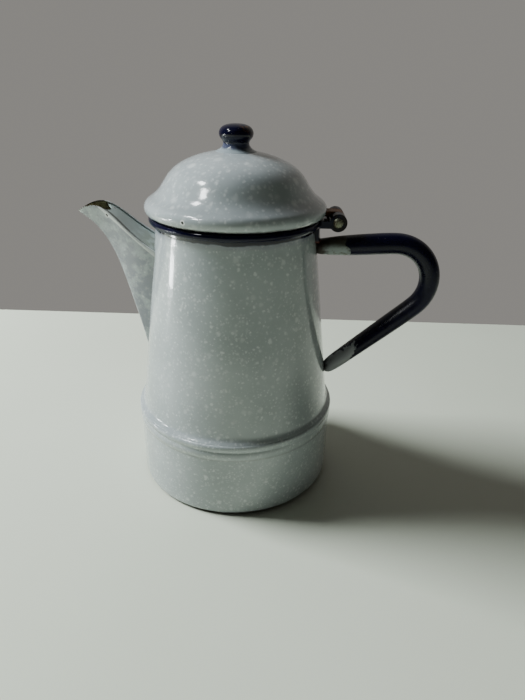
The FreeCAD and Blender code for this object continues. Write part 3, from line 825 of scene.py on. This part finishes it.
def knuckle(y_low, y_high):
    """One rolled knuckle round the hinge line, bored for the pin."""
    pick(None)
    middle = (HINGE[0] * MM, (y_low + y_high) / 2 * MM, HINGE[1] * MM)
    bpy.ops.mesh.primitive_cylinder_add(
        vertices=48, radius=KNUCKLE * MM, depth=(y_high - y_low) * MM, location=middle,
        rotation=(math.pi / 2, 0, 0))
    bpy.ops.object.transform_apply(location=True, rotation=True, scale=True)
    barrel = bpy.context.object
    drill(barrel, [((HINGE[0], (y_low + y_high) / 2, HINGE[1]), (0, 1, 0), 1.6)], depth=30, sides=32)
    return barrel


def join_up(pieces, name):
    """Fuses overlapping closed pieces to one, breaks its edges and shades it."""
    whole = pieces[0]
    for piece in pieces[1:]:
        finish_with(whole, "BOOLEAN", operation="UNION", object=piece, solver="EXACT")
        bpy.data.objects.remove(piece)
    finish_with(whole, "BEVEL", width=0.28 * MM, segments=3, limit_method="ANGLE",
                angle_limit=math.radians(40))
    whole.name = name
    smooth_off(whole, 0, 35)
    return whole


leg = raise_round("leg", [
    (wall_radius(LEG_FOOT) + 0.05, LEG_FOOT), (wall_radius(LEG_FOOT) + LEG, LEG_FOOT),
    (MOUTH_RADIUS + LEG, NECK_FOOT), (MOUTH_RADIUS + LEG, LEG_TOP), (MOUTH_RADIUS + 0.05, LEG_TOP),
    (MOUTH_RADIUS + 0.05, NECK_FOOT), (wall_radius(LEG_FOOT) + 0.05, LEG_FOOT)], 144)
weld_up(leg)
leg_zone = block((30, -HINGE_HALF, 130), (50, HINGE_HALF, 150))
finish_with(leg, "BOOLEAN", operation="INTERSECT", object=leg_zone, solver="EXACT")
bpy.data.objects.remove(leg_zone)
bracket = join_up([
    leg,
    block((41.4, -HINGE_HALF, ARM_FOOT), (50.8, -ARM_INSIDE, ARM_TOP)),
    block((41.4, ARM_INSIDE, ARM_FOOT), (50.8, HINGE_HALF, ARM_TOP)),
    block((41.5, -4.5, 144.6), (45.9, 4.5, 149.0)),
    knuckle(-HINGE_HALF, -ARM_INSIDE),
    knuckle(ARM_INSIDE, HINGE_HALF),
], "hinge_bracket_glazed")


def hinge_wear(b, place, colour, rough):
    """Cobalt worn through to brown metal on the knuckles, with rust at the leg's edge."""
    xyz = b.node("ShaderNodeSeparateXYZ", Vector=place)
    rubbing = b.blur_step(xyz.outputs[0], 0.045, 0.050, -0.15, 0.18)
    worn = b.blur_step(b.sum("ADD", b.noise(place, 420.0, 4.0, 0.6), rubbing), 0.60, 0.68)
    colour = b.tint(worn, colour, (0.010, 0.007, 0.006, 1))
    low = b.blur_step(xyz.outputs[2], 0.1385, 0.1400, 0.9, 0.0)
    colour = b.tint(low, colour, (0.11, 0.028, 0.016, 1))
    return colour, b.sum("MULTIPLY_ADD", worn, 0.25, rough)


dress(bracket, cobalt_enamel("hinge_cobalt", hinge_wear, gloss=0.15))
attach(bracket, "pot")
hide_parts("hinge_bracket")

PIN = 1.55
pin = raise_round("pin", [
    (1.0, -10.93), (1.9, -10.72), (2.4, -10.35), (2.5, -10.06), (PIN, -10.05), (PIN, -5), (PIN, 0),
    (PIN, 5), (PIN, 10.05), (2.5, 10.06), (2.4, 10.35), (1.9, 10.72), (1.0, 10.93), (0, 10.94),
], 40, filled_start=True)
pick(pin)
pin.matrix_world = Matrix.Translation(spout_place(*HINGE)) @ Matrix.Rotation(math.pi / 2, 4, "X")
settle(pin, "hinge_pin_steel")
weld_up(pin)
smooth_off(pin, 0, 60)


def worn_steel(name, tone):
    """Old steel gone olive-brown, with pits, scratches and a little rust."""
    material, b, shader, place = new_material(name)
    cloud = b.noise(place, 320.0, 5.0, 0.65)
    colour = b.tint(b.blur_step(cloud, 0.4, 0.7), tone, (0.075, 0.038, 0.016, 1))
    scratch = b.node("ShaderNodeMapping", Vector=place)
    scratch.inputs["Scale"].default_value = (1, 14, 1)
    lines = b.noise(scratch.outputs[0], 260.0, 2.0)
    colour = b.tint(b.sum("MULTIPLY", b.blur_step(lines, 0.6, 0.72), 0.5), colour, (0.30, 0.29, 0.24, 1))
    b.join(colour, shader.inputs["Base Color"])
    b.join(b.blur_step(cloud, 0.3, 0.7, 0.55, 0.9), shader.inputs["Metallic"])
    b.join(b.blur_step(cloud, 0.3, 0.7, 0.38, 0.62), shader.inputs["Roughness"])
    bump(b, shader, b.sum("ADD", cloud, b.sum("MULTIPLY", lines, 0.4)), 0.00012)
    return material


dress(pin, worn_steel("pin_steel", (0.20, 0.21, 0.15, 1)))
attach(pin, "pot")
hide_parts("hinge_pin")


# ---------------------------------------------------------------------------
# The lid. Drawn from one sheet: a rounded brim, a waist and a dome, with the hem
# turned under, a ring inside that drops into the mouth, and the glaze all over.
# ---------------------------------------------------------------------------

lid = raise_round("lid_glazed", [
    (43.5, 150.36), (44.7, 151.0), (45.55, 152.3), (45.8, 153.8), (45.5, 155.3), (44.5, 156.8),
    (42.8, 158.0), (40.5, 159.6), (38.2, 161.9), (36.2, 164.8), (34.3, 167.9), (31.8, 170.9),
    (28.5, 173.5), (24.5, 175.6), (20, 177.4), (15, 178.8), (10, 179.75), (5, 180.3), (2, 180.44),
    (0, 180.45),
], 72)
weld_up(lid)
finish_with(lid, "SOLIDIFY", thickness=SHEET * MM, offset=-1)
smooth_off(lid, 2)


def lid_wear_and_painted_shade(b, place, colour):
    """Wear along the hem, and painted shade at the waist under the dome."""
    xyz = b.node("ShaderNodeSeparateXYZ", Vector=place)
    height = b.sum("MULTIPLY_ADD", b.noise(place, 210.0), 0.0015, xyz.outputs[2])
    colour = b.tint(b.blur_step(height, 0.1515, 0.1528, 0.75, 0.0), colour, (0.07, 0.06, 0.055, 1))
    # Painted shade: the waist under the dome is darkened.
    waist = b.sum("ABSOLUTE", b.sum("SUBTRACT", xyz.outputs[2], 0.1585))
    colour = b.tint(b.blur_step(waist, 0.0, 0.0022, 0.22, 0.0), colour, (0.20, 0.22, 0.22, 1))
    return colour


lid_chips = [((-20.9, -40.7, 153.9), 0.7)]
dress(lid, speckled_enamel("lid_enamel", lid_chips, amount=0.85, fineness=275.0, extra=lid_wear_and_painted_shade))
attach(lid, "lid")
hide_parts("lid_dome")

collar = raise_round("lid_collar_glazed", [
    (37.4, 161.0), (37.4, 150), (37.4, 143), (37.5, 142.2), (37.8, 142), (38.1, 142.2), (38.2, 143),
    (38.2, 150), (38.2, 161.0), (37.4, 161.0)], 96)
weld_up(collar)
smooth_off(collar, 1)
dress(collar, speckled_enamel("collar_enamel", amount=0.3))
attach(collar, "lid")
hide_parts("lid_collar")

# The knob: pressed hollow, on a flared neck, cobalt over its cap only.
knob = raise_round("knob_glazed", [
    (10.3, 179.75), (9.1, 180.15), (7.7, 180.95), (6.7, 182.0), (6.2, 183.3), (6.5, 184.4), (7.3, 185.3),
    (8.15, 186.4), (8.45, 187.7), (8.25, 189.0), (7.4, 190.4), (5.9, 191.4), (3.7, 192.0), (1.6, 192.22),
    (0, 192.25)], 64)
weld_up(knob)
finish_with(knob, "SOLIDIFY", thickness=0.7 * MM, offset=-1)
smooth_off(knob, 2)


def knob_wear(b, place, colour, rough):
    """The cobalt runs thin down the neck, and is rubbed brown on the top's edge."""
    xyz = b.node("ShaderNodeSeparateXYZ", Vector=place)
    wander = b.sum("SUBTRACT", b.noise(place, 170.0), 0.5)
    height = b.sum("MULTIPLY_ADD", wander, 0.004, xyz.outputs[2])
    neck = b.tint(b.blur_step(height, 0.1803, 0.1822), (0.30, 0.35, 0.37, 1),
                  (0.065, 0.075, 0.125, 1))
    colour = b.tint(b.blur_step(height, 0.1832, 0.1846, 1.0, 0.0), colour, neck)
    spot = b.node("ShaderNodeVectorMath", {"operation": "DISTANCE"})
    b.join(place, spot.inputs[0])
    b.join((0.0055, -0.004, 0.1912), spot.inputs[1])
    rubbed = b.sum("MULTIPLY", b.blur_step(spot.outputs["Value"], 0.0015, 0.0045, 1.0, 0.0),
                   b.blur_step(b.noise(place, 650.0, 3.0), 0.46, 0.56))
    return b.tint(rubbed, colour, (0.10, 0.045, 0.02, 1)), rough


dress(knob, cobalt_enamel("knob_cobalt", knob_wear))
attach(knob, "lid")
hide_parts("lid_knob")

# The lid's half of the hinge: a plate under the brim, rolled to the middle knuckle.
leaf = join_up([
    block((43.4, -3.7, 151.7), (51, 3.7, 152.9)),
    block((45.0, -3.6, 150.3), (50.6, 3.6, 152.4)),
    knuckle(-3.7, 3.7),
], "lid_leaf_steel")
dress(leaf, worn_steel("leaf_steel", (0.16, 0.062, 0.02, 1)))
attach(leaf, "lid")
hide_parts("lid_leaf")


# ---------------------------------------------------------------------------
# The infuser. A perforated stainless basket that hangs inside the mouth by a
# rolled flange, with a wire bail that lies down under the lid.
# ---------------------------------------------------------------------------

BASKET_TOP = 151.0
BASKET_FOOT = 76.0
BASKET_SHEET = 0.5
BAIL_HEIGHT = 133


def basket_radius(height):
    """Outer radius of the basket's wall at a height, in mm."""
    return 39.4 - 2.6 * (BASKET_TOP - height) / (BASKET_TOP - BASKET_FOOT)


basket_heights = [76.0, 78, 83, 86.9, 92, 98, 103.9, 110, 117, 124, 133, 142, 150.6]
basket_outside = [(basket_radius(height), height) for height in basket_heights]
basket_inside = [(radius - BASKET_SHEET, height) for radius, height in reversed(basket_outside)]
basket = raise_round("basket_wall", basket_outside + basket_inside + basket_outside[:1], 144)
weld_up(basket)
basket_holes = []
for row in range(4):
    row_height = BASKET_FOOT + 10 + (123.7 - 86.0) * row / 3
    for place in range(24):
        turn = 2 * math.pi * (place + 0.5 * (row % 2)) / 24
        out = Vector((math.cos(turn), math.sin(turn), 0))
        basket_holes.append((out * 38 + Vector((0, 0, row_height)), out, 1.5))
for side in (-1, 1):
    basket_holes.append(((0, side * 38, BAIL_HEIGHT), (0, 1, 0), 1.1))
drill(basket, basket_holes, depth=8, sides=16)
smooth_off(basket, 0, 40)


def stainless(name, stretch, rough=0.28):
    """Brushed stainless steel, its fine lines running round or across, with water spots."""
    material, b, shader, place = new_material(name)
    lines = b.node("ShaderNodeMapping", Vector=place)
    lines.inputs["Scale"].default_value = stretch
    grain = b.noise(lines.outputs[0], 900.0, 3.0, 0.6)
    cloud = b.noise(place, 70.0, 3.0)
    colour = b.tint(b.blur_step(cloud, 0.3, 0.7), (0.50, 0.49, 0.46, 1), (0.62, 0.61, 0.59, 1))
    spots = b.sum("MULTIPLY", b.blur_step(b.noise(place, 240.0), 0.6, 0.7), 0.35)
    b.join(b.tint(spots, colour, (0.30, 0.24, 0.16, 1)), shader.inputs["Base Color"])
    shader.inputs["Metallic"].default_value = 1.0
    b.join(b.blur_step(grain, 0.25, 0.75, rough - 0.08, rough + 0.10), shader.inputs["Roughness"])
    bump(b, shader, grain, 0.00002)
    return material


dress(basket, stainless("basket_steel", (0.12, 0.12, 3.0)))
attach(basket, "basket")
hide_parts("infuser_wall")

flange = raise_round("basket_flange", [
    (39.0, 150.5), (39.2, 150.92), (39.6, 151.0), (41.2, 151.0), (41.7, 150.9), (41.9, 150.65),
    (41.7, 150.4), (41.2, 150.3), (39.6, 150.3), (39.2, 150.3), (39.0, 150.5)], 144)
weld_up(flange)
smooth_off(flange, 1)
dress(flange, stainless("flange_steel", (3.0, 3.0, 3.0), 0.22))
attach(flange, "basket")
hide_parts("infuser_rim")

# The basket's floor and its two ears keep their shapes and get the same brushed steel.
for node, stretch in (("infuser_floor", (0.12, 3.0, 3.0)), ("infuser_ears", (3.0, 0.12, 3.0))):
    steel = stainless(node + "_steel", stretch)
    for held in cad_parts[node].material_slots:
        held.material = steel

# The bail: one steel wire, its two ends turned out through the basket's wall.
WIRE_RADIUS = 1.0
WIRE_END = 39.37
HOOP = 33.88
BAIL_BEND = 2.5
pick(None)
bpy.ops.mesh.primitive_circle_add(
    vertices=16, radius=WIRE_RADIUS * MM, fill_type="NGON", rotation=(math.pi / 2, 0, 0),
    location=(0, -WIRE_END * MM, BAIL_HEIGHT * MM))
bail = bpy.context.object
bpy.ops.object.transform_apply(location=True, rotation=True, scale=True)
open_for_editing(bail, "FACE")
bpy.ops.mesh.select_all(action="SELECT")


def bend_round(centre, degrees, steps):
    """Bends the open end of the wire round a point in the level plane."""
    for _ in range(steps):
        bpy.ops.mesh.extrude_region_move(TRANSFORM_OT_translate={"value": (0, 0, 0)})
        bpy.ops.transform.rotate(value=-math.radians(degrees / steps), orient_axis="Z",
                                 center_override=Vector(centre) * MM)


stub = (0, (WIRE_END - HOOP - BAIL_BEND) * MM, 0)
bpy.ops.mesh.extrude_region_move(TRANSFORM_OT_translate={"value": stub})
bend_round((BAIL_BEND, -HOOP - BAIL_BEND, BAIL_HEIGHT), -90, 6)
bend_round((BAIL_BEND, 0, BAIL_HEIGHT), 180, 40)
bend_round((BAIL_BEND, HOOP + BAIL_BEND, BAIL_HEIGHT), -90, 6)
bpy.ops.mesh.extrude_region_move(TRANSFORM_OT_translate={"value": stub})
settle(bail, "bail_wire")
weld_up(bail)
smooth_off(bail, 0, 50)
dress(bail, stainless("bail_steel", (3.0, 3.0, 3.0), 0.2))
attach(bail, "bail")
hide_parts("infuser_bail")


# ---------------------------------------------------------------------------
# The room. A plain pale table, a tall soft window on the left, a dim ceiling and
# the camera, which looks down on the pot from in front.
# ---------------------------------------------------------------------------

pick(None)
TABLE_BACK = 0.22
bpy.ops.mesh.primitive_plane_add(size=3.0, location=(0, TABLE_BACK - 1.5, 0))
floor = settle(bpy.context.object, "table_top")
paint, b, shader, place = new_material("table_paint")
mottle = b.noise(place, 9.0, 4.0, 0.55)
b.join(b.tint(mottle, (0.665, 0.71, 0.585, 1), (0.71, 0.755, 0.63, 1)), shader.inputs["Base Color"])
b.join(b.blur_step(mottle, 0.3, 0.7, 0.42, 0.52), shader.inputs["Roughness"])
bump(b, shader, b.noise(place, 850.0, 2.0), 0.00003)
dress(floor, paint)


def soft_light(name, place, aim, size, power, colour):
    """A rectangular soft light at a place, facing another, width and height in metres."""
    data = bpy.data.lights.new(name, "AREA")
    data.shape = "RECTANGLE"
    data.size, data.size_y = size
    data.energy = power
    data.color = colour
    light = bpy.data.objects.new(name, data)
    bpy.context.scene.collection.objects.link(light)
    light.location = place
    light.rotation_euler = (Vector(aim) - Vector(place)).to_track_quat("-Z", "Y").to_euler()
    light.visible_camera = False
    return light


window = soft_light("window", (-1.05, 0.22, 0.90), (0, 0, 0.10), (0.50, 0.55), 42.0, (0.93, 0.98, 1.0))
window.visible_glossy = False
for name, place, size, power in (
    ("far_pane", (-0.595, -0.100, 0.977), (0.17, 0.11), 2.5),
    ("near_pane", (-0.614, -0.377, 0.887), (0.13, 0.13), 2.3),
    ("middle_pane", (-0.62, -0.124, 0.150), (0.05, 0.06), 0.45),
    ("lower_pane", (-0.55, -0.010, 0.042), (0.07, 0.045), 0.35),
):
    pane = soft_light(name, place, (0, 0, 0.12), size, power, (0.97, 1.0, 1.0))
    pane.visible_diffuse = False

room = bpy.data.worlds.new("room")
room.use_nodes = True
b = Bench(room.node_tree)
towards = b.node("ShaderNodeSeparateXYZ", Vector=b.node("ShaderNodeTexCoord").outputs["Generated"])
wall_light = b.blur_step(towards.outputs[1], 0.05, 0.6)
b.join(b.tint(wall_light, (0.030, 0.029, 0.027, 1), (0.255, 0.246, 0.230, 1)),
       room.node_tree.nodes["Background"].inputs["Color"])
bpy.context.scene.world = room

camera = bpy.data.objects.new("camera", bpy.data.cameras.new("camera"))
bpy.context.scene.collection.objects.link(camera)
camera.data.sensor_width = 36
camera.data.sensor_fit = "AUTO"
camera.data.lens = 28.08
camera.data.clip_start = 0.01
camera.matrix_world = (
    Matrix.Translation((0.0195, -0.2788, 0.2109)) @ Matrix.Rotation(math.radians(0.919), 4, "Z")
    @ Matrix.Rotation(math.radians(90 - 26.325), 4, "X") @ Matrix.Rotation(math.radians(1.391), 4, "Z")
)
bpy.context.scene.camera = camera
